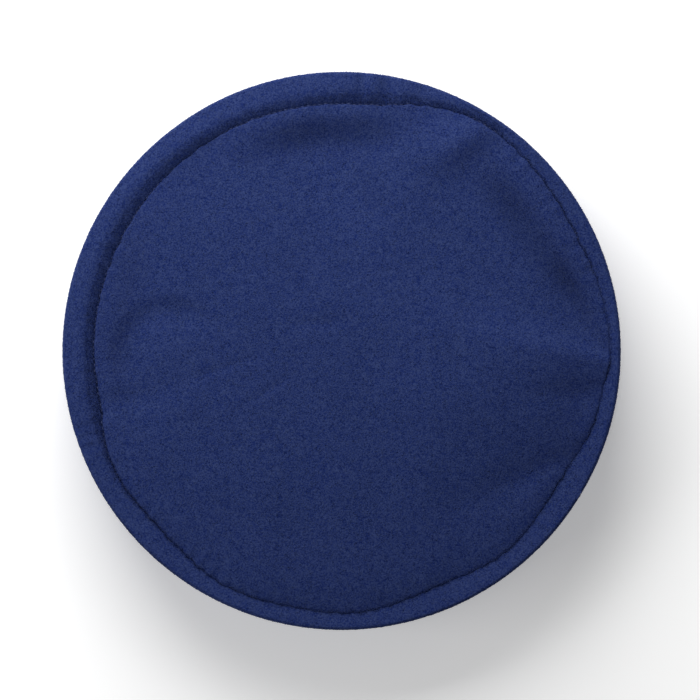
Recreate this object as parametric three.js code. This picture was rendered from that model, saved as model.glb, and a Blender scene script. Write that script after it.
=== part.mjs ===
// A pakol: a flat round crown of brushed wool cloth, sewn to a side that is rolled up into a thick brim.
// Millimetres, +Z up. The origin is on the table, in the middle of the hat, and +X is the right of the
// top view.
import * as THREE from "three";
import { LoftGeometry } from "three/addons/geometries/LoftGeometry.js";
import { mergeVertices } from "three/addons/utils/BufferGeometryUtils.js";

// Driving sizes
const OUTER_RADIUS = 125; // outline of the rolled side, seen from above
const HEAD_RADIUS = 94; // the mouth, for a head of 59 cm round
const CLOTH = 2; // thickness of the wool cloth
const CROWN_HEIGHT = 46.5; // top of the crown over the table
const CROWN_DOME = 4.5; // how far the crown falls from its middle to its edge
const SEAM_HEIGHT = 35.5; // the crown's sewn edge over the table
const SEAM_RADIUS = 115.6; // mean radius of the seam, which the rows of SIDE_PATH are drawn for
const SEAM_GAP = 0.35; // between the two cloth edges that the thread joins
const ROLL_TOP = 42; // heights of the roll's top and of its foot at the seam, which SIDE_PATH is drawn for
const ROLL_FOOT = 40.4;
const AROUND = 60; // sections round the hat
const WELD = 0.002; // points nearer than this are one point

const CLOTH_COLOUR = 0x25315d;
const CLOTH_ROUGHNESS = 0.95;

// The crown's edge round the hat. angle: degrees from +X, anticlockwise from above. inset: from the outline
// in to the crown's edge. roundOver: the width over which the crown rounds down to its edge. edgeDrop: how far
// it falls as it rounds over. rollFoot: where the roll comes up out of the seam. rollTop: the roll's top.
// rollFall: how far the roll falls from there to its outer shoulder.
const CROWN_EDGE = [
  { angle: 0, inset: 5.6, roundOver: 1.8, edgeDrop: 0.6, rollFoot: 41.4, rollTop: 42.5, rollFall: -0.3 },
  { angle: 13, inset: 7.2, roundOver: 1.8, edgeDrop: 0.4, rollFoot: 40.6, rollTop: 41.7, rollFall: -0.2 },
  { angle: 25, inset: 8, roundOver: 1.8, edgeDrop: 0.4, rollFoot: 41, rollTop: 42.1, rollFall: 0 },
  { angle: 38, inset: 7.2, roundOver: 1.8, edgeDrop: 0.4, rollFoot: 41, rollTop: 42.2, rollFall: 0 },
  { angle: 48, inset: 6, roundOver: 1.8, edgeDrop: 0.5, rollFoot: 40.9, rollTop: 42.3, rollFall: 0 },
  { angle: 58, inset: 6.1, roundOver: 1.8, edgeDrop: 0.8, rollFoot: 40.6, rollTop: 42.4, rollFall: -0.4 },
  { angle: 65, inset: 6.6, roundOver: 1.6, edgeDrop: 0.6, rollFoot: 40.8, rollTop: 42.5, rollFall: 0.2 },
  { angle: 73, inset: 9.8, roundOver: 1.5, edgeDrop: 0.4, rollFoot: 41.1, rollTop: 42.8, rollFall: 0.4 },
  { angle: 81, inset: 13.8, roundOver: 1.4, edgeDrop: 0.3, rollFoot: 41.3, rollTop: 43.3, rollFall: 0.3 },
  { angle: 96, inset: 14.5, roundOver: 1.4, edgeDrop: 0.3, rollFoot: 42.3, rollTop: 43.9, rollFall: 1 },
  { angle: 117, inset: 14.2, roundOver: 1.4, edgeDrop: 0.3, rollFoot: 41.4, rollTop: 43.6, rollFall: 1.3 },
  { angle: 135, inset: 14.2, roundOver: 1.4, edgeDrop: 0.3, rollFoot: 41.3, rollTop: 43.5, rollFall: 1.3 },
  { angle: 150, inset: 14.4, roundOver: 1.4, edgeDrop: 0.3, rollFoot: 41, rollTop: 43.5, rollFall: 1.1 },
  { angle: 180, inset: 14.2, roundOver: 1.4, edgeDrop: 0.3, rollFoot: 40.5, rollTop: 43.7, rollFall: 0.9 },
  { angle: 194, inset: 14.4, roundOver: 1.5, edgeDrop: 0.4, rollFoot: 39.8, rollTop: 43.4, rollFall: 0.7 },
  { angle: 201, inset: 11.6, roundOver: 3, edgeDrop: 0.7, rollFoot: 40.7, rollTop: 42.5, rollFall: -0.3 },
  { angle: 210, inset: 10.4, roundOver: 6, edgeDrop: 1, rollFoot: 40.5, rollTop: 41.8, rollFall: -1.3 },
  { angle: 222, inset: 11.4, roundOver: 8, edgeDrop: 1.2, rollFoot: 40.2, rollTop: 41.3, rollFall: -1.9 },
  { angle: 232, inset: 10.2, roundOver: 9, edgeDrop: 1.3, rollFoot: 40, rollTop: 41, rollFall: -1.9 },
  { angle: 241, inset: 7.8, roundOver: 10, edgeDrop: 1.1, rollFoot: 39.9, rollTop: 40.9, rollFall: -1.3 },
  { angle: 257, inset: 8.1, roundOver: 12, edgeDrop: 1, rollFoot: 40, rollTop: 41, rollFall: -0.8 },
  { angle: 275, inset: 7.7, roundOver: 13, edgeDrop: 1, rollFoot: 39.9, rollTop: 40.9, rollFall: -0.8 },
  { angle: 292, inset: 11.2, roundOver: 13, edgeDrop: 1, rollFoot: 40.2, rollTop: 41.2, rollFall: -0.9 },
  { angle: 309, inset: 8.7, roundOver: 12, edgeDrop: 1, rollFoot: 40.1, rollTop: 41.1, rollFall: -0.9 },
  { angle: 331, inset: 11.2, roundOver: 8, edgeDrop: 0.9, rollFoot: 40.1, rollTop: 41.1, rollFall: -0.9 },
  { angle: 342, inset: 8, roundOver: 5, edgeDrop: 0.8, rollFoot: 41, rollTop: 42, rollFall: -0.8 },
  { angle: 352, inset: 6.6, roundOver: 2.6, edgeDrop: 0.7, rollFoot: 41.8, rollTop: 42.9, rollFall: -0.6 },
];

// The middle of the side's cloth in one section, from the seam down the wall, under the hat, up the outside,
// over the top of the roll and on inside it. seam: the share of the seam's way in or out that a point takes.
// top, fall and foot: its shares of how the roll's top, the fall to its shoulder and its foot differ from
// ROLL_TOP, 0 and ROLL_FOOT. steps: the steps on to the next row.
const SIDE_PATH = [
  { r: 114.6, z: SEAM_HEIGHT - SEAM_GAP, seam: 1, top: 0, fall: 0, foot: 0, steps: 1 },
  { r: 114.6, z: 33.8, seam: 1, top: 0, fall: 0, foot: 0, steps: 1 },
  { r: 113, z: 30.5, seam: 0.8, top: 0, fall: 0, foot: 0, steps: 1 },
  { r: 109.5, z: 23.5, seam: 0.45, top: 0, fall: 0, foot: 0, steps: 1 },
  { r: 101, z: 15, seam: 0.2, top: 0, fall: 0, foot: 0, steps: 1 },
  { r: 95.2, z: 8, seam: 0, top: 0, fall: 0, foot: 0, steps: 2 },
  { r: 97.6, z: 2.2, seam: 0, top: 0, fall: 0, foot: 0, steps: 2 },
  { r: 103, z: 1, seam: 0, top: 0, fall: 0, foot: 0, steps: 1 },
  { r: 114.5, z: 1, seam: 0, top: 0, fall: 0, foot: 0, steps: 2 },
  { r: 120.6, z: 4.4, seam: 0, top: 0, fall: 0, foot: 0, steps: 1 },
  { r: 123.4, z: 11, seam: 0, top: 0, fall: 0, foot: 0, steps: 1 },
  { r: 124, z: 19, seam: 0, top: 0, fall: 0, foot: 0, steps: 1 },
  { r: 124, z: 30, seam: 0, top: 0.6, fall: 0.6, foot: 0, steps: 1 },
  { r: 124, z: 39.7, seam: 0, top: 1, fall: 1, foot: 0, steps: 1 },
  { r: 123.7, z: 40.65, seam: 0, top: 1, fall: 1, foot: 0, steps: 1 },
  { r: 122.9, z: 41, seam: 0, top: 1, fall: 1, foot: 0, steps: 1 },
  { r: 119.9, z: 41, seam: 0.66, top: 1, fall: 0, foot: 0, steps: 1 },
  { r: 118.9, z: 40.85, seam: 0.84, top: 0.75, fall: 0, foot: 0.25, steps: 1 },
  { r: 117.9, z: 40.45, seam: 1, top: 0.3, fall: 0, foot: 0.7, steps: 1 },
  { r: 117.2, z: 39.6, seam: 1, top: 0, fall: 0, foot: 1, steps: 1 },
  { r: 117.1, z: 38.2, seam: 1, top: 0, fall: 0, foot: 1, steps: 1 },
  { r: 117.05, z: 31.5, seam: 1, top: 0, fall: 0, foot: 0, steps: 1 },
  { r: 116.5, z: 26.5, seam: 0.75, top: 0, fall: 0, foot: 0, steps: 1 },
  { r: 113.2, z: 22, seam: 0.3, top: 0, fall: 0, foot: 0, steps: 1 },
  { r: 104.6, z: 14.4, seam: 0.2, top: 0, fall: 0, foot: 0, steps: 1 },
  { r: 99.4, z: 8.8, seam: 0, top: 0, fall: 0, foot: 0, steps: 1 },
  { r: 102.6, z: 4.6, seam: 0, top: 0, fall: 0, foot: 0, steps: 1 },
  { r: 114, z: 4.3, seam: 0, top: 0, fall: 0, foot: 0, steps: 1 },
  { r: 118.8, z: 8.4, seam: 0, top: 0, fall: 0, foot: 0, steps: 1 },
  { r: 120.5, z: 15.5, seam: 0, top: 0, fall: 0, foot: 0, steps: 1 },
  { r: 120, z: 22.5, seam: 0, top: 0, fall: 0, foot: 0, steps: 1 },
];

// Folds that run in from the crown's edge. at: where they meet it. lean: degrees that they turn from the way
// to the middle. edgeWidth and innerWidth: half widths at the two ends, on the left as they run in.
// rightShare: the right side's share of those. height: a ridge is over 0, a trough under.
const INWARD_FOLDS = [
  { at: 57, lean: -28, length: 50, edgeWidth: 6, innerWidth: 14, rightShare: 1.3, height: 3 },
  { at: 358.4, lean: -4, length: 115, edgeWidth: 17, innerWidth: 84, rightShare: 0.36, height: 5.6 },
  { at: 338.3, lean: 46, length: 105, edgeWidth: 5, innerWidth: 13, rightShare: 1, height: -1.3 },
  { at: 193, lean: 4, length: 60, edgeWidth: 6, innerWidth: 10, rightShare: 1, height: -1 },
];
const FOLD_FROM = 0.02; // shares of its length between which such a fold stands
const FOLD_TO = 0.65;
const FOLD_SOFT = 0.7; // share of its length over which each end dies away

// Folds that run along the crown's edge. at: the angle of their middle. span: the degrees that they take up.
// inset: from the crown's edge in to the fold. outerWidth and innerWidth: half widths on its two sides.
const EDGE_FOLDS = [
  { at: 95.5, span: 33, inset: 20, outerWidth: 10, innerWidth: 44, height: -3.4 },
  { at: 95, span: 32, inset: 3, outerWidth: 20, innerWidth: 8, height: 2.3 },
  { at: 30, span: 40, inset: 7, outerWidth: 9, innerWidth: 8, height: 1.6 },
];
const FOLD_END = 26; // degrees over which a fold along the edge dies away
const FOLD_GONE = 5; // radii inside which such a fold is gone, and outside which it is whole
const FOLD_WHOLE = 40;

// Folds that lie across the crown. fromX to toY: the two ends of their middle line. width: their half width.
const CROSS_FOLDS = [{ fromX: 71, fromY: 71, toX: 110, toY: 18, width: 8, height: -4.2 }];

// Round dents and bulges of the crown. x and y: their middle. radius: their half width.
const DENTS = [
  { x: -92, y: 10, radius: 13, height: -1.7 },
  { x: -86, y: -40, radius: 16, height: 0.9 },
  { x: 116, y: -31, radius: 12, height: 1.4 },
];

// The crown's rings: shares of the way from the middle out to where the edge begins to round over, then
// degrees of the round-over itself.
const CROWN_SHARES = [0, 0.2, 0.38, 0.52, 0.64, 0.73, 0.81, 0.88, 0.945, 1];
const ROUND_OVER_DEGREES = [24, 46, 68, 90];

// How far the hat's top sways up and down round the hat, as a soft thing does. waves: times round the hat.
const SWAY = [
  { waves: 2, height: 0.9, turn: 40 },
  { waves: 3, height: 0.5, turn: 110 },
];

const TURN = 360;
const CORNERS = 3; // of a face

function radians(degrees) {
  return THREE.MathUtils.degToRad(degrees);
}

// A smooth closed curve round the hat through one column of a table.
function aroundHat(rows, column) {
  const turns = [-TURN, 0, TURN];
  const angles = turns.flatMap((turn) => rows.map((row) => row.angle + turn));
  const values = turns.flatMap(() => rows.map((row) => row[column]));
  const curve = new THREE.CubicInterpolant(angles, values, 1);
  return (angle) => curve.evaluate(angle)[0];
}

const edgeInset = aroundHat(CROWN_EDGE, "inset");
const roundOverWidth = aroundHat(CROWN_EDGE, "roundOver");
const edgeDrop = aroundHat(CROWN_EDGE, "edgeDrop");
const rollFoot = aroundHat(CROWN_EDGE, "rollFoot");
const rollTop = aroundHat(CROWN_EDGE, "rollTop");
const rollFall = aroundHat(CROWN_EDGE, "rollFall");

function edgeRadius(angle) {
  return OUTER_RADIUS - edgeInset(angle);
}

function bell(distance, width) {
  return Math.exp(-((distance / width) ** 2));
}

// 1 between two ends and 0 outside them, with soft ends.
function stretch(value, from, to, soft) {
  const rises = THREE.MathUtils.smoothstep(value, from - soft / 2, from + soft / 2);
  return rises * (1 - THREE.MathUtils.smoothstep(value, to - soft / 2, to + soft / 2));
}

function inwardFold(fold, x, y) {
  const at = radians(fold.at);
  const along = radians(fold.at + TURN / 2 + fold.lean);
  const reach = edgeRadius(fold.at);
  const dx = x - reach * Math.cos(at);
  const dy = y - reach * Math.sin(at);
  const share = (dx * Math.cos(along) + dy * Math.sin(along)) / fold.length;
  const aside = dy * Math.cos(along) - dx * Math.sin(along);
  const left = THREE.MathUtils.lerp(fold.edgeWidth, fold.innerWidth, THREE.MathUtils.clamp(share, 0, 1));
  const width = aside < 0 ? fold.rightShare * left : left;
  return fold.height * bell(aside, width) * stretch(share, FOLD_FROM, FOLD_TO, FOLD_SOFT);
}

function edgeFold(fold, r, angle) {
  const inward = edgeRadius(angle) - r - fold.inset;
  const width = inward > 0 ? fold.innerWidth : fold.outerWidth;
  const half = TURN / 2;
  const aside = THREE.MathUtils.euclideanModulo(angle - fold.at + half, TURN) - half;
  const along = stretch(aside, -fold.span / 2, fold.span / 2, FOLD_END);
  return fold.height * bell(inward, width) * along * THREE.MathUtils.smoothstep(r, FOLD_GONE, FOLD_WHOLE);
}

function crossFold(fold, x, y) {
  const from = new THREE.Vector2(fold.fromX, fold.fromY);
  const run = new THREE.Vector2(fold.toX, fold.toY).sub(from);
  const length = run.length();
  const place = new THREE.Vector2(x, y).sub(from);
  const along = place.dot(run) / length;
  const aside = place.cross(run) / length;
  return fold.height * bell(aside, fold.width) * stretch(along, 0, length, length / 2);
}

// Height of the crown's upper face before its edge rounds over.
function crownTop(r, angle) {
  const x = r * Math.cos(radians(angle));
  const y = r * Math.sin(radians(angle));
  let z = CROWN_HEIGHT - CROWN_DOME * (r / SEAM_RADIUS) ** 2;
  for (const fold of INWARD_FOLDS) z += inwardFold(fold, x, y);
  for (const fold of EDGE_FOLDS) z += edgeFold(fold, r, angle);
  for (const fold of CROSS_FOLDS) z += crossFold(fold, x, y);
  for (const dent of DENTS) z += dent.height * bell(Math.hypot(x - dent.x, y - dent.y), dent.radius);
  return z;
}

// A point of the hat: its radius, angle and height, swayed by more the higher and the further out it is.
function hatPoint(r, angle, z) {
  const share = (z / CROWN_HEIGHT) * (r / OUTER_RADIUS) ** 2;
  let swayed = z;
  for (const wave of SWAY) {
    swayed += wave.height * share * Math.sin(radians(wave.waves * angle + wave.turn));
  }
  return new THREE.Vector3(r * Math.cos(radians(angle)), r * Math.sin(radians(angle)), swayed);
}

// One ring of the crown's cloth. depth is 0 on the upper face and CLOTH on the lower.
function crownRing(share, roundOver, depth) {
  const ring = [];
  for (let i = 0; i < AROUND; i++) {
    const angle = (i * TURN) / AROUND;
    const width = Math.max(roundOverWidth(angle), depth);
    const flatRadius = edgeRadius(angle) - width;
    const r = share * flatRadius + (width - depth) * Math.sin(radians(roundOver));
    const drop = edgeDrop(angle) * (1 - Math.cos(radians(roundOver)));
    ring.push(hatPoint(r, angle, crownTop(r, angle) - depth - drop));
  }
  return ring;
}

function seamRing(depth) {
  const ring = [];
  for (let i = 0; i < AROUND; i++) {
    const angle = (i * TURN) / AROUND;
    ring.push(hatPoint(edgeRadius(angle) - depth, angle, SEAM_HEIGHT));
  }
  return ring;
}

function crownFace(depth) {
  const flat = CROWN_SHARES.map((share) => crownRing(share, 0, depth));
  const rounded = ROUND_OVER_DEGREES.map((degrees) => crownRing(1, degrees, depth));
  return [...flat, ...rounded, seamRing(depth)];
}

function crownGeometry() {
  const rings = [...crownFace(CLOTH), ...crownFace(0).reverse()];
  return new LoftGeometry(rings);
}

// The middle line of the side's cloth at one angle, held to the table, the mouth and the outline.
function sideLine(angle) {
  const shift = edgeRadius(angle) - SEAM_RADIUS;
  const top = rollTop(angle) - ROLL_TOP;
  const foot = rollFoot(angle) - ROLL_FOOT;
  const fall = rollFall(angle);
  const points = SIDE_PATH.map((row) => {
    const z = row.z + row.top * top + row.foot * foot - row.fall * fall;
    return new THREE.Vector3(row.r + row.seam * shift, 0, z);
  });
  const curve = new THREE.CatmullRomCurve3(points);
  const line = [];
  SIDE_PATH.forEach((row, i) => {
    for (let step = 0; step < row.steps; step++) {
      const point = curve.getPoint((i + step / row.steps) / (SIDE_PATH.length - 1));
      point.x = THREE.MathUtils.clamp(point.x, HEAD_RADIUS + CLOTH / 2, OUTER_RADIUS - CLOTH / 2);
      point.z = Math.max(point.z, CLOTH / 2);
      line.push(point);
    }
  });
  return line;
}

// The closed section of the side's cloth at one angle: along one face and back along the other.
function sideSection(angle) {
  const line = sideLine(angle);
  const outside = [];
  const inside = [];
  line.forEach((point, i) => {
    const before = line[Math.max(i - 1, 0)];
    const after = line[Math.min(i + 1, line.length - 1)];
    const run = new THREE.Vector3().subVectors(after, before).normalize();
    const dr = (-run.z * CLOTH) / 2;
    const dz = (run.x * CLOTH) / 2;
    outside.push(hatPoint(point.x - dr, angle, point.z - dz));
    inside.push(hatPoint(point.x + dr, angle, point.z + dz));
  });
  return [...inside, ...outside.reverse()];
}

function sideGeometry() {
  const sections = [];
  for (let i = 0; i <= AROUND; i++) sections.push(sideSection(((i % AROUND) * TURN) / AROUND));
  return new LoftGeometry(sections);
}

const cloth = new THREE.MeshStandardMaterial({
  color: CLOTH_COLOUR,
  roughness: CLOTH_ROUGHNESS,
  metalness: 0,
});

// One closed skin: points that meet become one, and faces that closed up at the crown's middle are dropped.
function closedSkin(loft) {
  const loose = new THREE.BufferGeometry();
  loose.setAttribute("position", loft.getAttribute("position"));
  loose.setIndex(loft.getIndex());
  const skin = mergeVertices(loose, WELD);
  const corners = skin.getIndex().array;
  const faces = [];
  for (let i = 0; i < corners.length; i += CORNERS) {
    const face = [...corners.slice(i, i + CORNERS)];
    if (new Set(face).size === CORNERS) faces.push(...face);
  }
  skin.setIndex(faces);
  skin.computeVertexNormals();
  return skin;
}

function clothMesh(name, loft) {
  const mesh = new THREE.Mesh(closedSkin(loft), cloth);
  mesh.name = name;
  return mesh;
}

const pakol = new THREE.Group();
pakol.add(clothMesh("crown", crownGeometry()));
pakol.add(clothMesh("rolled_side", sideGeometry()));

export default pakol;
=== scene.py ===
import math

import bpy
import numpy as np
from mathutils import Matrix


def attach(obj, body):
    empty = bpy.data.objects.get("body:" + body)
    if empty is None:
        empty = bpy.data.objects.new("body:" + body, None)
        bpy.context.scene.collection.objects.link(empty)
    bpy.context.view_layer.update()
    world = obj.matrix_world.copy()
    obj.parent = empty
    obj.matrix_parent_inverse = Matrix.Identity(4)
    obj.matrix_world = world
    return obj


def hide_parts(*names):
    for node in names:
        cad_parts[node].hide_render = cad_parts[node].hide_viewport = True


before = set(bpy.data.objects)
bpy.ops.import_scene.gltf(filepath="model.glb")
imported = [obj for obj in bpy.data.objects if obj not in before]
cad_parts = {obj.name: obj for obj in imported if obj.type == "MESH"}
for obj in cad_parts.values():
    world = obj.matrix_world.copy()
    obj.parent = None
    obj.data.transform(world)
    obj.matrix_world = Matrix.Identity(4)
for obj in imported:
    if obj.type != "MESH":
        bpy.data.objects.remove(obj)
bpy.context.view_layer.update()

# Crown
# The round top panel of thick brushed wool cloth, cut as a disc and sewn to the side all round its edge.
# It lies slack, so it keeps the folds that it was packed with, and its edge rounds over into the seam.
MM = 0.001
TURN = 360.0
CLOTH = 2.0  # thickness of the wool cloth, in millimetres, as all sizes are until a mesh is made
OUTLINE_RADIUS = 125.0
CROWN_HEIGHT = 46.5
CROWN_DOME = 4.5  # fall of the crown from its middle to its edge
SEAM_HEIGHT = 35.5
SEAM_RADIUS = 115.6  # the mean radius of the seam
EDGE_TUCK = 0.35  # how far the edge is drawn in under its round-over, where the roll presses on it

STITCHES = 269  # round the seam, 2.7 mm apart
AROUND = 2 * STITCHES  # one point on each stitch and one between
ANGLES = np.arange(AROUND) * TURN / AROUND
COSINES = np.cos(np.radians(ANGLES))
SINES = np.sin(np.radians(ANGLES))

# Rings of the crown's upper face: across its flat part, round its edge, and from there down to the seam
FLAT_RINGS = 86
TURNED_RINGS = 14
EDGE_RINGS = 6

# The crown's edge and the roll beside it, round the hat. angle: degrees from its right. inset: from the
# outline in to the crown's edge. rounding: the width over which the crown rounds down to that edge.
# drop: how far it falls as it rounds over. flank: the width of the roll's slope up from the seam.
# foot and top: the heights of that slope. fall: from its top down to the roll's outer shoulder.
CROWN_EDGE = [
    dict(angle=0, inset=4.6, rounding=1.2, drop=0.35, flank=0.2, foot=41.8, top=42.9, fall=-0.3),
    dict(angle=13, inset=5.9, rounding=1.8, drop=0.4, flank=0.6, foot=40.5, top=41.7, fall=-0.2),
    dict(angle=25, inset=8.0, rounding=1.8, drop=0.4, flank=1.2, foot=40.8, top=42.2, fall=0.0),
    dict(angle=38, inset=7.2, rounding=1.8, drop=0.4, flank=1.1, foot=41.0, top=42.3, fall=0.0),
    dict(angle=48, inset=6.0, rounding=1.8, drop=0.5, flank=1.8, foot=40.9, top=42.4, fall=0.0),
    dict(angle=58, inset=5.3, rounding=1.8, drop=0.8, flank=3.8, foot=40.2, top=42.2, fall=-0.5),
    dict(angle=65, inset=6.6, rounding=1.6, drop=0.6, flank=3.5, foot=40.5, top=42.4, fall=0.2),
    dict(angle=73, inset=9.8, rounding=1.5, drop=0.4, flank=5.0, foot=40.8, top=42.7, fall=0.5),
    dict(angle=81, inset=13.8, rounding=0.9, drop=0.2, flank=8.0, foot=40.5, top=43.3, fall=0.3),
    dict(angle=96, inset=14.5, rounding=1.2, drop=0.4, flank=6.0, foot=41.5, top=43.9, fall=1.0),
    dict(angle=117, inset=14.2, rounding=0.8, drop=0.3, flank=5.5, foot=41.1, top=43.6, fall=1.3),
    dict(angle=135, inset=14.2, rounding=0.8, drop=0.2, flank=7.0, foot=40.7, top=43.5, fall=1.3),
    dict(angle=150, inset=14.4, rounding=1.1, drop=0.35, flank=7.4, foot=40.3, top=43.5, fall=1.1),
    dict(angle=180, inset=14.2, rounding=1.4, drop=0.5, flank=6.6, foot=39.7, top=43.7, fall=0.9),
    dict(angle=194, inset=14.4, rounding=2.4, drop=0.7, flank=7.4, foot=38.9, top=43.4, fall=0.7),
    dict(angle=201, inset=11.6, rounding=3.0, drop=1.0, flank=3.8, foot=39.3, top=42.5, fall=-0.3),
    dict(angle=210, inset=10.4, rounding=6.0, drop=1.0, flank=2.6, foot=39.7, top=41.8, fall=-1.3),
    dict(angle=222, inset=11.4, rounding=8.0, drop=1.2, flank=1.2, foot=39.8, top=41.3, fall=-1.9),
    dict(angle=232, inset=10.2, rounding=9.0, drop=1.3, flank=0.5, foot=39.9, top=41.0, fall=-1.9),
    dict(angle=241, inset=7.8, rounding=10.0, drop=1.1, flank=0.2, foot=39.95, top=41.05, fall=-1.3),
    dict(angle=257, inset=8.1, rounding=12.0, drop=1.0, flank=0.2, foot=40.2, top=41.3, fall=-0.8),
    dict(angle=275, inset=7.7, rounding=13.0, drop=1.0, flank=0.2, foot=40.05, top=41.15, fall=-0.8),
    dict(angle=292, inset=11.2, rounding=13.0, drop=1.0, flank=0.2, foot=40.3, top=41.4, fall=-0.9),
    dict(angle=309, inset=8.7, rounding=12.0, drop=1.0, flank=0.2, foot=40.35, top=41.45, fall=-0.9),
    dict(angle=331, inset=11.2, rounding=8.0, drop=0.9, flank=0.2, foot=40.4, top=41.5, fall=-0.9),
    dict(angle=342, inset=8.0, rounding=3.5, drop=0.6, flank=0.2, foot=41.3, top=42.4, fall=-0.8),
    dict(angle=352, inset=6.6, rounding=1.4, drop=0.4, flank=0.2, foot=42.0, top=43.1, fall=-0.6),
]

# Folds that run in from the edge. at: where they meet it. lean: degrees that they turn from the way to the
# middle. edge_width and inner_width: half widths at the two ends, on the left as they run in.
# right: the right side's share of those. height: a ridge is over 0, a trough under.
INWARD_FOLDS = [
    dict(at=57, lean=-28, length=50, edge_width=6.0, inner_width=14, right=1.3, height=3.0),
    dict(at=357.6, lean=-5.2, length=115, edge_width=11.0, inner_width=84, right=0.36, height=5.2),
    dict(at=336.8, lean=47.5, length=85, edge_width=4.5, inner_width=11, right=1.0, height=-1.0),
    dict(at=193, lean=4, length=60, edge_width=6.0, inner_width=10, right=1.0, height=-1.0),
]
FOLD_FROM = 0.02  # shares of its length between which such a fold stands
FOLD_TO = 0.65
FOLD_SOFT = 0.7  # share of its length over which each end dies away

# Folds that run along the edge. at: the angle of their middle. span: the degrees that they take up.
# inset: from the edge in to the fold. outer_width and inner_width: half widths on its two sides.
EDGE_FOLDS = [
    dict(at=95.5, span=33, inset=20, outer_width=10, inner_width=44, height=-3.4),
    dict(at=95, span=32, inset=3, outer_width=20, inner_width=8, height=2.3),
    dict(at=30, span=40, inset=7, outer_width=9, inner_width=8, height=1.6),
]
FOLD_END = 26.0  # degrees over which a fold along the edge dies away
FOLD_DIES = (5.0, 40.0)  # from the middle: where it is gone, and where it is whole

# Low round bulges. x and y: their middle. radius: their half width.
BULGES = [
    dict(x=-86, y=-40, radius=16, height=0.9),
    dict(x=116, y=-31, radius=12, height=1.4),
    dict(x=91, y=-37, radius=16, height=1.6),
]

# A shallow dish at the left. It deepens towards its rim, which stands up sharply on one side.
DISH_MIDDLE = (-77.0, -2.5)
DISH_RADIUS = 22.5
DISH_RIM = 6.5  # half the width of its rim
DISH_TOWARDS = 132.0  # degrees: the side on which the rim stands
DISH_SPREAD = 165.0  # degrees that the rim takes up
DISH_END = 60.0  # degrees over which each end of the rim dies away
DISH_DEPTH = 2.4

# Folds and fine creases across the crown. start and end: places, from its middle. width: half of it.
CREASES = [
    dict(start=(71, 71), end=(110, 18), width=8.0, height=-4.2),
    dict(start=(97, 37), end=(114, 11), width=3.5, height=-1.0),
    dict(start=(84, -19.8), end=(117, -18.2), width=5.0, height=-0.5),
    dict(start=(-68, -13), end=(-36, -1.7), width=2.2, height=-0.3),
    dict(start=(-42, -23.5), end=(-24, -12), width=2.0, height=-0.25),
    dict(start=(-20, 12), end=(2, 13), width=3.0, height=-0.45),
]

# Painted shade: bands along folds whose colour is darkened as shade. height: the share of its colour lost
# there.
PAINTED_FOLD_SHADE_BANDS = [
    dict(start=(71, 71), end=(109, 18), width=6.5, height=0.21),
    dict(start=(98, 36), end=(118, 5), width=3.5, height=0.16),
    dict(start=(-93, 48), end=(-103, -10), width=7.0, height=0.13),
    dict(start=(-104, -18), end=(-84, -20), width=4.0, height=0.1),
    dict(start=(8, 82), end=(18, 64), width=8.0, height=0.1),
]

# The whole hat's slight sway up and down. waves: times round the hat. turn: degrees at which each starts.
SWAY = [
    dict(waves=2, height=0.9, turn=40),
    dict(waves=3, height=0.5, turn=110),
]

SEED = 7  # of every random draw, so that each run gives the same hat
rng = np.random.default_rng(SEED)

# Soft unevenness of the cloth: waves that run across the crown every way. Longer waves are higher.
LUMPS = 16
LUMP_LENGTHS = (14, 60)  # the shortest and the longest wave
lump_lengths = rng.uniform(*LUMP_LENGTHS, LUMPS)
lump_ways = rng.uniform(0, TURN, LUMPS)
lump_starts = rng.uniform(0, TURN, LUMPS)
LUMP_SLOPE = 0.008  # steepest slope of one wave

# The seam's puckers: the stitches draw the cloth in unevenly, about every second one
PUCKER_WAVES = np.arange(45, 130)  # times round the hat
pucker_starts = rng.uniform(0, TURN, len(PUCKER_WAVES))
PUCKER_REACH = 0.13  # how far the seam strays in and out
PUCKER_DEPTH = 0.1  # how far the crown dips beside it
PUCKER_WIDTH = 3.5  # how far in from the edge that dies away
PUCKER_OUTSIDE = 1.0  # and how far out
pucker_turns = np.outer(PUCKER_WAVES, ANGLES) + pucker_starts[:, None]
puckers = np.cos(np.radians(pucker_turns)).sum(axis=0) / math.sqrt(len(PUCKER_WAVES) / 2)


def smooth_step(value, low, high):
    share = np.clip((value - low) / (high - low), 0, 1)
    return share * share * (3 - 2 * share)


def bell(distance, width):
    return np.exp(-((distance / width) ** 2))


def stretch(value, start, end, soft):
    """1 between two ends and 0 outside them, with soft ends."""
    rise = smooth_step(value, start - soft / 2, start + soft / 2)
    fall = smooth_step(value, end - soft / 2, end + soft / 2)
    return rise * (1 - fall)


def hermite(share, before, after, slope_before, slope_after, span):
    """A cubic from one value to the next, with the given slopes at its two ends."""
    square, cube = share**2, share**3
    return (
        (2 * cube - 3 * square + 1) * before
        + (cube - 2 * square + share) * slope_before * span
        + (3 * square - 2 * cube) * after
        + (cube - square) * slope_after * span
    )


def around_hat(rows, column, angles):
    """A smooth closed curve round the hat through one column of a table, read at some angles."""
    at = np.concatenate([[row["angle"] + turn for row in rows] for turn in (-TURN, 0, TURN)])
    values = np.tile([float(row[column]) for row in rows], 3)
    chords = np.diff(values) / np.diff(at)
    slopes = np.zeros(len(at))
    slopes[1:-1] = (chords[1:] + chords[:-1]) / 2
    i = np.clip(np.searchsorted(at, angles, side="right") - 1, 1, len(at) - 3)
    span = at[i + 1] - at[i]
    share = (angles - at[i]) / span
    return hermite(share, values[i], values[i + 1], slopes[i], slopes[i + 1], span)


edge_inset = around_hat(CROWN_EDGE, "inset", ANGLES)
edge_radius = OUTLINE_RADIUS - edge_inset + PUCKER_REACH * puckers
round_over = around_hat(CROWN_EDGE, "rounding", ANGLES)
edge_drop = around_hat(CROWN_EDGE, "drop", ANGLES)


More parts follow.
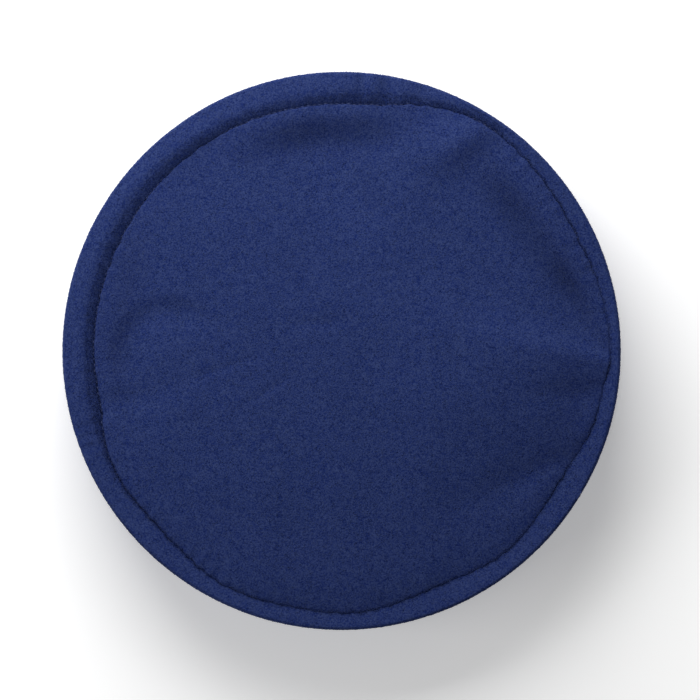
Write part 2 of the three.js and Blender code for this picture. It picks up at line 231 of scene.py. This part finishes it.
def inward_fold(fold, x, y):
    """Height that a fold running in from the edge adds."""
    at = math.radians(fold["at"])
    along = math.radians(fold["at"] + TURN / 2 + fold["lean"])
    reach = OUTLINE_RADIUS - around_hat(CROWN_EDGE, "inset", np.array([float(fold["at"])]))[0]
    dx, dy = x - reach * math.cos(at), y - reach * math.sin(at)
    share = (dx * math.cos(along) + dy * math.sin(along)) / fold["length"]
    aside = dy * math.cos(along) - dx * math.sin(along)
    width = fold["edge_width"] + (fold["inner_width"] - fold["edge_width"]) * np.clip(share, 0, 1)
    width = np.where(aside < 0, fold["right"], 1) * width
    return fold["height"] * bell(aside, width) * stretch(share, FOLD_FROM, FOLD_TO, FOLD_SOFT)


def edge_fold(fold, r):
    """Height that a fold along the edge adds, at one radius for each angle."""
    aside = (ANGLES - fold["at"] + TURN / 2) % TURN - TURN / 2
    along = stretch(aside, -fold["span"] / 2, fold["span"] / 2, FOLD_END)
    inward = edge_radius - r - fold["inset"]
    width = np.where(inward > 0, fold["inner_width"], fold["outer_width"])
    return fold["height"] * bell(inward, width) * along * smooth_step(r, *FOLD_DIES)


def crease(line, x, y):
    """Height that a straight fold or crease across the crown adds."""
    (x0, y0), (x1, y1) = line["start"], line["end"]
    length = math.hypot(x1 - x0, y1 - y0)
    along = ((x - x0) * (x1 - x0) + (y - y0) * (y1 - y0)) / length
    aside = ((y - y0) * (x1 - x0) - (x - x0) * (y1 - y0)) / length
    return line["height"] * bell(aside, line["width"]) * stretch(along, 0, length, length / 2)


def dish(x, y):
    """Height that the dish at the left takes away, under 0."""
    dx, dy = x - DISH_MIDDLE[0], y - DISH_MIDDLE[1]
    reach = np.hypot(dx, dy)
    turn = (np.degrees(np.arctan2(dy, dx)) - DISH_TOWARDS + TURN / 2) % TURN - TURN / 2
    rim = 1 - smooth_step(reach, DISH_RADIUS - DISH_RIM, DISH_RADIUS + DISH_RIM)
    spread = stretch(turn, -DISH_SPREAD / 2, DISH_SPREAD / 2, DISH_END)
    return -DISH_DEPTH * (reach / DISH_RADIUS) ** 2 * rim * spread


def mark_painted_fold_shade(piece, points):
    """Keeps, at each point of a piece, how much of its colour the painted fold shade takes away there."""
    x, y = points[:, 0], points[:, 1]
    mark = piece.data.attributes.new("painted_fold_shade", "FLOAT", "POINT")
    mark.data.foreach_set("value", sum(crease(band, x, y) for band in PAINTED_FOLD_SHADE_BANDS))


def unevenness(x, y):
    height = 0
    for length, way, start in zip(lump_lengths, np.radians(lump_ways), np.radians(lump_starts)):
        wave = math.tau / length
        along = x * math.cos(way) + y * math.sin(way)
        height = height + LUMP_SLOPE / wave * np.cos(wave * along + start)
    return height


def crown_top(r):
    """Height of the crown's upper face, before its edge rounds over, at one radius for each angle."""
    x, y = r * COSINES, r * SINES
    height = CROWN_HEIGHT - CROWN_DOME * (r / SEAM_RADIUS) ** 2
    height = height + sum(inward_fold(fold, x, y) for fold in INWARD_FOLDS)
    height = height + sum(edge_fold(fold, r) for fold in EDGE_FOLDS)
    height = height + sum(crease(line, x, y) for line in CREASES) + dish(x, y) + unevenness(x, y)
    inward = edge_radius - r
    dip = PUCKER_DEPTH * puckers * bell(np.minimum(inward, 0), PUCKER_OUTSIDE)
    height = height + dip * np.exp(-np.maximum(inward, 0) / PUCKER_WIDTH)
    return height + sum(b["height"] * bell(np.hypot(x - b["x"], y - b["y"]), b["radius"]) for b in BULGES)


def hat_ring(r, z):
    """One ring of points round the hat, swayed up and down by more the higher and the further out it is."""
    share = (z / CROWN_HEIGHT) * (r / OUTLINE_RADIUS) ** 2
    sway = sum(w["height"] * np.sin(np.radians(w["waves"] * ANGLES + w["turn"])) for w in SWAY)
    return np.stack([r * COSINES, r * SINES, z + share * sway], axis=1)


def crown_ring(share, degrees, depth):
    """A ring of the crown's cloth: out by a share of its flat part, then turned down by some degrees."""
    turn = math.radians(degrees)
    width = np.maximum(round_over, depth)
    r = share * (edge_radius - width) + (width - depth) * math.sin(turn)
    return hat_ring(r, crown_top(r) - depth - edge_drop * (1 - math.cos(turn)))


def edge_ring(share, depth):
    """A ring of the crown's edge below the round-over, down to the seam."""
    top = crown_top(edge_radius - depth) - depth - edge_drop
    r = edge_radius - depth - EDGE_TUCK * min(EDGE_RINGS * share, 1)
    return hat_ring(r, top + share * (SEAM_HEIGHT - top))


def crown_face(flat_rings, turned_rings, edge_rings, depth):
    """The rings of one face of the crown's cloth, from its middle out and down to the seam."""
    rings = [crown_ring(share, 0, depth) for share in np.linspace(0, 1, flat_rings)]
    rings += [crown_ring(1, degrees, depth) for degrees in np.linspace(0, TURN / 4, turned_rings + 1)[1:]]
    return rings + [edge_ring(share, depth) for share in np.linspace(0, 1, edge_rings + 1)[1:]]


def skin(name, grid, poles):
    """A closed mesh through rings of points. With poles, the first and last ring are a point each."""
    rows, count = len(grid), grid[0].shape[0]
    points = np.concatenate(grid) * MM
    i = np.arange(count)
    after = (i + 1) % count
    faces = []
    for row in range(rows - 1 if poles else rows):
        low, high = row * count, (row + 1) % rows * count
        if poles and row == 0:
            faces += np.stack([np.zeros(count, int), high + i, high + after], axis=1).tolist()
        elif poles and row == rows - 2:
            faces += np.stack([low + i, np.full(count, high), low + after], axis=1).tolist()
        else:
            faces += np.stack([low + i, high + i, high + after, low + after], axis=1).tolist()
    mesh = bpy.data.meshes.new(name)
    mesh.from_pydata(points.tolist(), [], faces)
    mesh.validate()
    mesh.shade_smooth()
    piece = bpy.data.objects.new(name, mesh)
    bpy.context.scene.collection.objects.link(piece)
    return piece


TUFT_DARK = (0.0053, 0.0151, 0.0945, 1)
TUFT_LIGHT = (0.0302, 0.0479, 0.143, 1)
TUFT_TONES = (0.36, 0.64)  # where in the noise the darkest and the lightest tufts lie
PATCH_SHARE = 0.2  # of the tone that comes from broad patches, the rest from tufts
SHEEN_TINT = (0.25, 0.33, 0.7, 1)
TUFT_RELIEF = 0.3 * MM


def brushed_wool(name):
    """Matte navy wool cloth, brushed to a short matted nap that shows as small lighter and darker tufts,
    with painted shade darkening it along some folds.
    """
    cloth = bpy.data.materials.new(name)
    cloth.use_nodes = True
    nodes, links = cloth.node_tree.nodes, cloth.node_tree.links
    shader = nodes["Principled BSDF"]
    shader.inputs["Roughness"].default_value = 0.95
    shader.inputs["Specular IOR Level"].default_value = 0.1
    shader.inputs["Sheen Weight"].default_value = 0.06
    shader.inputs["Sheen Roughness"].default_value = 0.5
    shader.inputs["Sheen Tint"].default_value = SHEEN_TINT
    place = nodes.new("ShaderNodeTexCoord")

    def noise(scale, detail):
        node = nodes.new("ShaderNodeTexNoise")
        node.inputs["Scale"].default_value = scale
        node.inputs["Detail"].default_value = detail
        links.new(place.outputs["Object"], node.inputs["Vector"])
        return node.outputs["Fac"]

    tufts = noise(scale=1500, detail=2)
    patches = noise(scale=300, detail=3)
    tone = nodes.new("ShaderNodeMix")
    tone.inputs["Factor"].default_value = PATCH_SHARE
    links.new(tufts, tone.inputs["A"])
    links.new(patches, tone.inputs["B"])
    shades = nodes.new("ShaderNodeValToRGB")
    shades.color_ramp.elements[0].position = TUFT_TONES[0]
    shades.color_ramp.elements[0].color = TUFT_DARK
    shades.color_ramp.elements[1].position = TUFT_TONES[1]
    shades.color_ramp.elements[1].color = TUFT_LIGHT
    links.new(tone.outputs["Result"], shades.inputs["Fac"])
    # Painted shade: the colour is mixed towards black by the painted fold shade kept on each piece
    painted_fold_shade = nodes.new("ShaderNodeAttribute")
    painted_fold_shade.attribute_name = "painted_fold_shade"
    painted_shade_mix = nodes.new("ShaderNodeMixRGB")
    painted_shade_mix.inputs["Color2"].default_value = (0, 0, 0, 1)
    links.new(painted_fold_shade.outputs["Fac"], painted_shade_mix.inputs["Fac"])
    links.new(shades.outputs["Color"], painted_shade_mix.inputs["Color1"])
    links.new(painted_shade_mix.outputs["Color"], shader.inputs["Base Color"])
    relief = nodes.new("ShaderNodeBump")
    relief.inputs["Strength"].default_value = 0.6
    relief.inputs["Distance"].default_value = TUFT_RELIEF
    links.new(tufts, relief.inputs["Height"])
    links.new(relief.outputs["Normal"], shader.inputs["Normal"])
    return cloth


crown_upper = crown_face(FLAT_RINGS, TURNED_RINGS, EDGE_RINGS, depth=0)
crown_lower = crown_face(flat_rings=20, turned_rings=6, edge_rings=3, depth=CLOTH)
crown_rings = crown_upper + crown_lower[::-1]
crown = skin("crown_panel", crown_rings, poles=True)
# Painted shade along the crown's folds
mark_painted_fold_shade(crown, np.concatenate(crown_rings))
crown.data.materials.append(brushed_wool("brushed_wool"))
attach(crown, "root")
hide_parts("crown")

# Rolled side
# One strip of the same cloth, sewn to the crown's edge. It runs down inside as the wall round the head,
# turns outward under the hat, comes up the outside and is rolled in over itself into the thick ring.
MOUTH_RADIUS = 94.0
SEAM_GAP = 0.35
ROLL_TOP = 42.0  # heights that the table below is written for
ROLL_FOOT = 39.6

# Radial puckers that cross the roll. at: degrees. width: half of it, in degrees.
ROLL_PUCKERS = [
    dict(at=85.6, width=1.3, height=-0.9),
    dict(at=80.0, width=1.7, height=-1.2),
    dict(at=72.5, width=2.2, height=-0.5),
    dict(at=101.5, width=2.0, height=-0.4),
    dict(at=196.4, width=0.7, height=-0.35),
    dict(at=198.6, width=0.7, height=-0.4),
    dict(at=201.0, width=0.8, height=-0.3),
]
WALL_DENT = 0.7  # depth of the soft dents in the roll's outer wall
DENT_TURNS = (7, 11, 16, 23)  # times round the hat
DENT_SLANTS = (3.0, -4.0, 6.0, -2.0)  # degrees round for each millimetre up
DENT_STARTS = (20, 150, 260, 75)
DENT_HEIGHTS = (12, 33)  # between which they stand
DENT_SOFT = 14  # height over which their ends die away
DENT_RADII = (121.5, 123)  # they set in between these, so that only the outer wall has them
DENT_WAVES = (-0.6, 0.8)  # heights of the waves with no dent and with the deepest

# The middle of the cloth in one section. seam: the share of the seam's way in or out that a point takes.
# flank: the share of the flank's width. top, fall and foot: shares of how the roll's top, the fall to its
# shoulder and its foot differ from the heights above. steps: how many lead on to the next row.
SIDE_PATH = [
    dict(r=114.3, z=SEAM_HEIGHT - SEAM_GAP, seam=1, flank=0, top=0, fall=0, foot=0, steps=2),
    dict(r=114.3, z=33.8, seam=1, flank=0, top=0, fall=0, foot=0, steps=2),
    dict(r=113, z=30.5, seam=0.8, flank=0, top=0, fall=0, foot=0, steps=3),
    dict(r=109.5, z=23.5, seam=0.45, flank=0, top=0, fall=0, foot=0, steps=4),
    dict(r=101, z=15, seam=0.2, flank=0, top=0, fall=0, foot=0, steps=4),
    dict(r=95.2, z=8, seam=0, flank=0, top=0, fall=0, foot=0, steps=4),
    dict(r=97.6, z=2.2, seam=0, flank=0, top=0, fall=0, foot=0, steps=4),
    dict(r=103, z=1, seam=0, flank=0, top=0, fall=0, foot=0, steps=3),
    dict(r=114.5, z=1, seam=0, flank=0, top=0, fall=0, foot=0, steps=4),
    dict(r=120.6, z=4.4, seam=0, flank=0, top=0, fall=0, foot=0, steps=4),
    dict(r=123.4, z=11, seam=0, flank=0, top=0, fall=0, foot=0, steps=4),
    dict(r=124, z=19, seam=0, flank=0, top=0, fall=0, foot=0, steps=5),
    dict(r=124, z=30, seam=0, flank=0, top=0.6, fall=0.6, foot=0, steps=5),
    dict(r=124, z=40.6, seam=0, flank=0, top=1, fall=1, foot=0, steps=3),
    dict(r=123.9, z=40.9, seam=0, flank=0, top=1, fall=1, foot=0, steps=3),
    dict(r=123.65, z=41, seam=0, flank=0, top=1, fall=1, foot=0, steps=4),
    dict(r=116.25, z=41, seam=1, flank=1, top=1, fall=0, foot=0, steps=4),
    dict(r=116.25, z=40.85, seam=1, flank=0.66, top=0.9, fall=0, foot=0.1, steps=4),
    dict(r=116.25, z=40.5, seam=1, flank=0.36, top=0.64, fall=0, foot=0.36, steps=4),
    dict(r=116.3, z=40.05, seam=1, flank=0.13, top=0.3, fall=0, foot=0.7, steps=3),
    dict(r=116.35, z=39.6, seam=1, flank=0, top=0, fall=0, foot=1, steps=3),
    dict(r=116.4, z=38, seam=1, flank=0, top=0, fall=0, foot=1, steps=3),
    dict(r=117.05, z=31.5, seam=1, flank=0, top=0, fall=0, foot=0, steps=2),
    dict(r=116.5, z=26.5, seam=0.75, flank=0, top=0, fall=0, foot=0, steps=2),
    dict(r=113.2, z=22, seam=0.3, flank=0, top=0, fall=0, foot=0, steps=2),
    dict(r=104.6, z=14.4, seam=0.2, flank=0, top=0, fall=0, foot=0, steps=2),
    dict(r=99.4, z=8.8, seam=0, flank=0, top=0, fall=0, foot=0, steps=2),
    dict(r=102.6, z=4.6, seam=0, flank=0, top=0, fall=0, foot=0, steps=2),
    dict(r=114, z=4.3, seam=0, flank=0, top=0, fall=0, foot=0, steps=2),
    dict(r=118.8, z=8.4, seam=0, flank=0, top=0, fall=0, foot=0, steps=2),
    dict(r=120.5, z=15.5, seam=0, flank=0, top=0, fall=0, foot=0, steps=2),
    dict(r=120, z=22.5, seam=0, flank=0, top=0, fall=0, foot=0, steps=1),
]


def side_line():
    """The middle line of the side's cloth at every angle, as rows of radius and height from the seam on."""
    shift = edge_radius - SEAM_RADIUS
    top = around_hat(CROWN_EDGE, "top", ANGLES) - ROLL_TOP
    top = top + sum(p["height"] * bell(ANGLES - p["at"], p["width"]) for p in ROLL_PUCKERS)
    fall = around_hat(CROWN_EDGE, "fall", ANGLES)
    foot = around_hat(CROWN_EDGE, "foot", ANGLES) - ROLL_FOOT
    flank = around_hat(CROWN_EDGE, "flank", ANGLES)
    r = np.array([row["r"] + row["seam"] * shift + row["flank"] * flank for row in SIDE_PATH])
    z = np.array(
        [row["z"] + row["top"] * top - row["fall"] * fall + row["foot"] * foot for row in SIDE_PATH]
    )
    spans = np.sqrt(np.hypot(np.diff(r, axis=0), np.diff(z, axis=0)))
    lines = []
    for values in (r, z):
        chords = np.diff(values, axis=0) / spans
        slopes = np.concatenate([chords[:1], (chords[1:] + chords[:-1]) / 2, chords[-1:]])
        line = []
        for i, row in enumerate(SIDE_PATH[:-1]):
            for step in range(row["steps"]):
                share = step / row["steps"]
                line.append(hermite(share, values[i], values[i + 1], slopes[i], slopes[i + 1], spans[i]))
        lines.append(np.array(line + [values[-1]]))
    line_r = np.clip(lines[0], MOUTH_RADIUS + CLOTH / 2, OUTLINE_RADIUS - CLOTH / 2)
    line_z = np.maximum(lines[1], CLOTH / 2)
    return line_r - wall_dents(line_r, line_z), line_z


def wall_dents(r, z):
    """Soft dents that stand up the outer wall, deepest halfway up."""
    waves = sum(
        np.cos(np.radians(turns * ANGLES + slant * z + start))
        for turns, slant, start in zip(DENT_TURNS, DENT_SLANTS, DENT_STARTS)
    )
    on_wall = stretch(z, *DENT_HEIGHTS, DENT_SOFT) * smooth_step(r, *DENT_RADII)
    return WALL_DENT * on_wall * smooth_step(waves / len(DENT_TURNS), *DENT_WAVES)


line_r, line_z = side_line()
run_r, run_z = np.gradient(line_r, axis=0), np.gradient(line_z, axis=0)
run = np.hypot(run_r, run_z)
out_r, out_z = run_z / run * CLOTH / 2, -run_r / run * CLOTH / 2
side_outer = [hat_ring(r, z) for r, z in zip(line_r + out_r, line_z + out_z)]
side_inner = [hat_ring(r, z) for r, z in zip((line_r - out_r)[::2], (line_z - out_z)[::2])]
side = skin("rolled_side_strip", side_outer + side_inner[::-1], poles=False)
side.data.materials.append(bpy.data.materials["brushed_wool"])
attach(side, "root")
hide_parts("rolled_side")

# Seam stitches
# The navy thread that joins the crown to the side: a stitch every 2.7 mm in the groove, each one drawn
# down into the cloth at both ends.
STITCH_LENGTH = 1.9
STITCH_RADIUS = 0.22
STITCH_SIDES = 6
STITCH_STEPS = 7
STITCH_BLUNT = 0.02  # keeps its ends from closing to a point
STITCH_BOW = 0.45  # how far its ends dive under its middle
STITCH_INTO = 0.35  # how far its middle lies under the crown's edge
STITCH_OUT = 0.3  # how far out from that edge it lies
THREAD_DARK = (0.01, 0.02, 0.08, 1)
THREAD_LIGHT = (0.03, 0.045, 0.14, 1)
THREAD_TWIST = 2500  # scale of the noise that stands for its plies

edge_height = edge_ring(0, 0)[:, 2]
thread_path = np.linspace(-1, 1, STITCH_STEPS)
thread_round = np.radians(np.arange(STITCH_SIDES) * TURN / STITCH_SIDES)
stitch_points = []
stitch_faces = []
for stitch in range(STITCHES):
    middle = 2 * stitch
    turn = math.radians(ANGLES[middle])
    reach = edge_radius[middle] + STITCH_OUT
    height = edge_height[middle] - STITCH_INTO
    first = len(stitch_points)
    for share in thread_path:
        thickness = STITCH_RADIUS * math.sqrt(1 + STITCH_BLUNT - share**2)
        side_turn = turn + share * STITCH_LENGTH / 2 / reach
        for around in thread_round:
            r = reach + thickness * math.cos(around)
            z = height - STITCH_BOW * share**2 + thickness * math.sin(around)
            stitch_points.append((r * math.cos(side_turn), r * math.sin(side_turn), z))
    for row in range(len(thread_path) - 1):
        for i in range(STITCH_SIDES):
            low, high = first + row * STITCH_SIDES, first + (row + 1) * STITCH_SIDES
            after = (i + 1) % STITCH_SIDES
            stitch_faces.append((low + i, low + after, high + after, high + i))
    last = first + (len(thread_path) - 1) * STITCH_SIDES
    stitch_faces.append(tuple(first + i for i in reversed(range(STITCH_SIDES))))
    stitch_faces.append(tuple(last + i for i in range(STITCH_SIDES)))


def closed_piece(name, points, faces):
    """A piece made of points in millimetres and the faces between them."""
    mesh = bpy.data.meshes.new(name)
    mesh.from_pydata((np.array(points) * MM).tolist(), [], faces)
    piece = bpy.data.objects.new(name, mesh)
    bpy.context.scene.collection.objects.link(piece)
    return piece


thread = bpy.data.materials.new("navy_thread")
thread.use_nodes = True
thread_shader = thread.node_tree.nodes["Principled BSDF"]
thread_shader.inputs["Roughness"].default_value = 0.7
thread_twist = thread.node_tree.nodes.new("ShaderNodeTexNoise")
thread_twist.inputs["Scale"].default_value = THREAD_TWIST
thread_shades = thread.node_tree.nodes.new("ShaderNodeValToRGB")
thread_shades.color_ramp.elements[0].color = THREAD_DARK
thread_shades.color_ramp.elements[1].color = THREAD_LIGHT
thread.node_tree.links.new(thread_twist.outputs["Fac"], thread_shades.inputs["Fac"])
thread.node_tree.links.new(thread_shades.outputs["Color"], thread_shader.inputs["Base Color"])
stitches = closed_piece("seam_stitches", stitch_points, stitch_faces)
stitches.data.materials.append(thread)
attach(stitches, "root")

# Nap
# The brushed face of the cloth: short wool ends, rooted in it and matted down every way, which blur its
# outline and reach over the groove. They are the cloth's own fibres, so they share its finish.
NAP_LENGTH = 0.95
NAP_LENGTHS = (0.5, 1.4)  # the shortest and the longest tuft, as shares of that
NAP_WIDTH = 0.16
NAP_THICKNESS = 0.06
NAP_ROOT = 0.15  # how deep a tuft's root is in the cloth
LYING = (3, 18)  # degrees between which the tufts stand up from the cloth
ACROSS = (25, 70)  # and beside the seam, where they stand out over the groove
FACE_TUFTS = 49000  # on the crown, and as many on the side
SEAM_TUFTS = 14000  # along the seam on each of them
CORNERS = 4  # of a tuft, which is a long thin spike of four faces
TUFT_FACES = np.array([(0, 1, 2), (0, 3, 1), (1, 3, 2), (2, 3, 0)])


def nap(name, rings, count, stand):
    """A piece of many tufts, spread evenly over the faces between some rings."""
    grid = np.array(rings)
    along = np.diff(grid, axis=0)
    across = np.roll(grid, -1, axis=1)[:-1] - grid[:-1]
    face = np.cross(along, across)
    area = np.linalg.norm(face, axis=2)
    chances = np.cumsum(area)
    cells = np.searchsorted(chances, rng.random(count) * chances[-1])
    row, column = np.divmod(cells, AROUND)
    root = grid[row, column] + rng.random((count, 1)) * along[row, column]
    root = root + rng.random((count, 1)) * across[row, column]
    up = face[row, column] / area[row, column][:, None]
    way = rng.normal(size=(count, 3))
    way -= (way * up).sum(axis=1, keepdims=True) * up
    way /= np.linalg.norm(way, axis=1, keepdims=True)
    aside = np.cross(up, way) * NAP_WIDTH / 2
    lift = np.radians(rng.uniform(*stand, (count, 1)))
    length = NAP_LENGTH * rng.uniform(*NAP_LENGTHS, (count, 1))
    tip = root + length * (np.cos(lift) * way + np.sin(lift) * up)
    sunk = root - NAP_ROOT * up
    points = np.stack([sunk - aside, sunk + aside, root + NAP_THICKNESS * up, tip], axis=1)
    faces = TUFT_FACES[None] + CORNERS * np.arange(count)[:, None, None]
    tufts = closed_piece(name, points.reshape(-1, 3), faces.reshape(-1, 3).tolist())
    # The tufts take the same painted fold shade as the cloth under them
    mark_painted_fold_shade(tufts, points.reshape(-1, 3))
    tufts.data.materials.append(bpy.data.materials["brushed_wool"])
    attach(tufts, "root")


# The crown's rings that show: to just past its round-over, and those beside the seam
edge_start = FLAT_RINGS + TURNED_RINGS
BEFORE_EDGE = 5
PAST_EDGE = 2
crown_shown = crown_upper[1 : edge_start + 1]
crown_at_seam = crown_upper[edge_start - BEFORE_EDGE : edge_start + PAST_EDGE]

# Rows of SIDE_PATH: the foot of the outer wall, the roll's slope down to the seam, and that slope's foot
WALL_ROW = 9
SLOPE_ROW = 17
FOOT_ROW = 20
row_starts = np.cumsum([0] + [row["steps"] for row in SIDE_PATH])
side_shown = side_outer[row_starts[WALL_ROW] : row_starts[FOOT_ROW] + 1]
side_at_seam = side_outer[row_starts[SLOPE_ROW] : row_starts[FOOT_ROW] + 1]

nap("crown_nap", crown_shown, FACE_TUFTS, LYING)
nap("side_nap", side_shown[::-1], FACE_TUFTS, LYING)
nap("seam_nap_crown", crown_at_seam, SEAM_TUFTS, ACROSS)
nap("seam_nap_side", side_at_seam[::-1], SEAM_TUFTS, ACROSS)

# Table, light and camera
# The hat lies mouth down on a plain pale table, under a broad soft light from the back and a weaker one
# from the left, and is seen from straight above through a long lens.
TABLE_SIZE = 14.0
TABLE_GLOW = 0.3  # it is lit from below too, as a light table is, so that shadows on it stay pale
bpy.ops.mesh.primitive_plane_add(size=TABLE_SIZE, location=(0, 0, 0))
table = bpy.context.active_object
table.name = "table"
paper = bpy.data.materials.new("pale_table")
paper.use_nodes = True
paper_shader = paper.node_tree.nodes["Principled BSDF"]
paper_shader.inputs["Base Color"].default_value = (0.9, 0.9, 0.9, 1)
paper_shader.inputs["Roughness"].default_value = 0.8
paper_shader.inputs["Emission Color"].default_value = (1, 1, 1, 1)
paper_shader.inputs["Emission Strength"].default_value = TABLE_GLOW
table.data.materials.append(paper)

ROOM_LIGHT = 0.18
room = bpy.data.worlds.new("room")
room.use_nodes = True
room.node_tree.nodes["Background"].inputs["Color"].default_value = (1, 1, 1, 1)
room.node_tree.nodes["Background"].inputs["Strength"].default_value = ROOM_LIGHT
bpy.context.scene.world = room


def soft_light(name, azimuth, elevation, distance, size, power):
    """A square light that faces the middle of the table."""
    lamp = bpy.data.lights.new(name, "AREA")
    lamp.energy = power
    lamp.size = size
    light = bpy.data.objects.new(name, lamp)
    turn, lift = math.radians(azimuth), math.radians(elevation)
    flat = distance * math.cos(lift)
    light.location = (flat * math.cos(turn), flat * math.sin(turn), distance * math.sin(lift))
    light.rotation_euler = (0, math.pi / 2 - lift, turn)
    light.visible_camera = False
    bpy.context.scene.collection.objects.link(light)


soft_light("key", azimuth=105, elevation=35, distance=0.88, size=0.8, power=11.85)
soft_light("fill", azimuth=198, elevation=25, distance=1.6, size=0.9, power=8.0)

# The photo's frame in pixels: its side, the middle of the hat, and the radius of the hat's outline
PHOTO_SIDE = 700
HAT_MIDDLE = (341.6, 350.9)
OUTLINE_PIXELS = 278.2
CAMERA_HEIGHT = 8.0
WIDEST_HEIGHT = 0.019  # where the roll is widest, in metres as the camera's height is
SENSOR = 36.0
pixel = OUTLINE_RADIUS * MM / OUTLINE_PIXELS
lens = bpy.data.cameras.new("camera")
lens.sensor_width = SENSOR
lens.lens = SENSOR * (CAMERA_HEIGHT - WIDEST_HEIGHT) / (pixel * PHOTO_SIDE)
camera = bpy.data.objects.new("camera", lens)
camera.location = (
    (PHOTO_SIDE / 2 - HAT_MIDDLE[0]) * pixel,
    (HAT_MIDDLE[1] - PHOTO_SIDE / 2) * pixel,
    CAMERA_HEIGHT,
)
bpy.context.scene.collection.objects.link(camera)
bpy.context.scene.camera = camera
bpy.context.scene.view_settings.view_transform = "Standard"
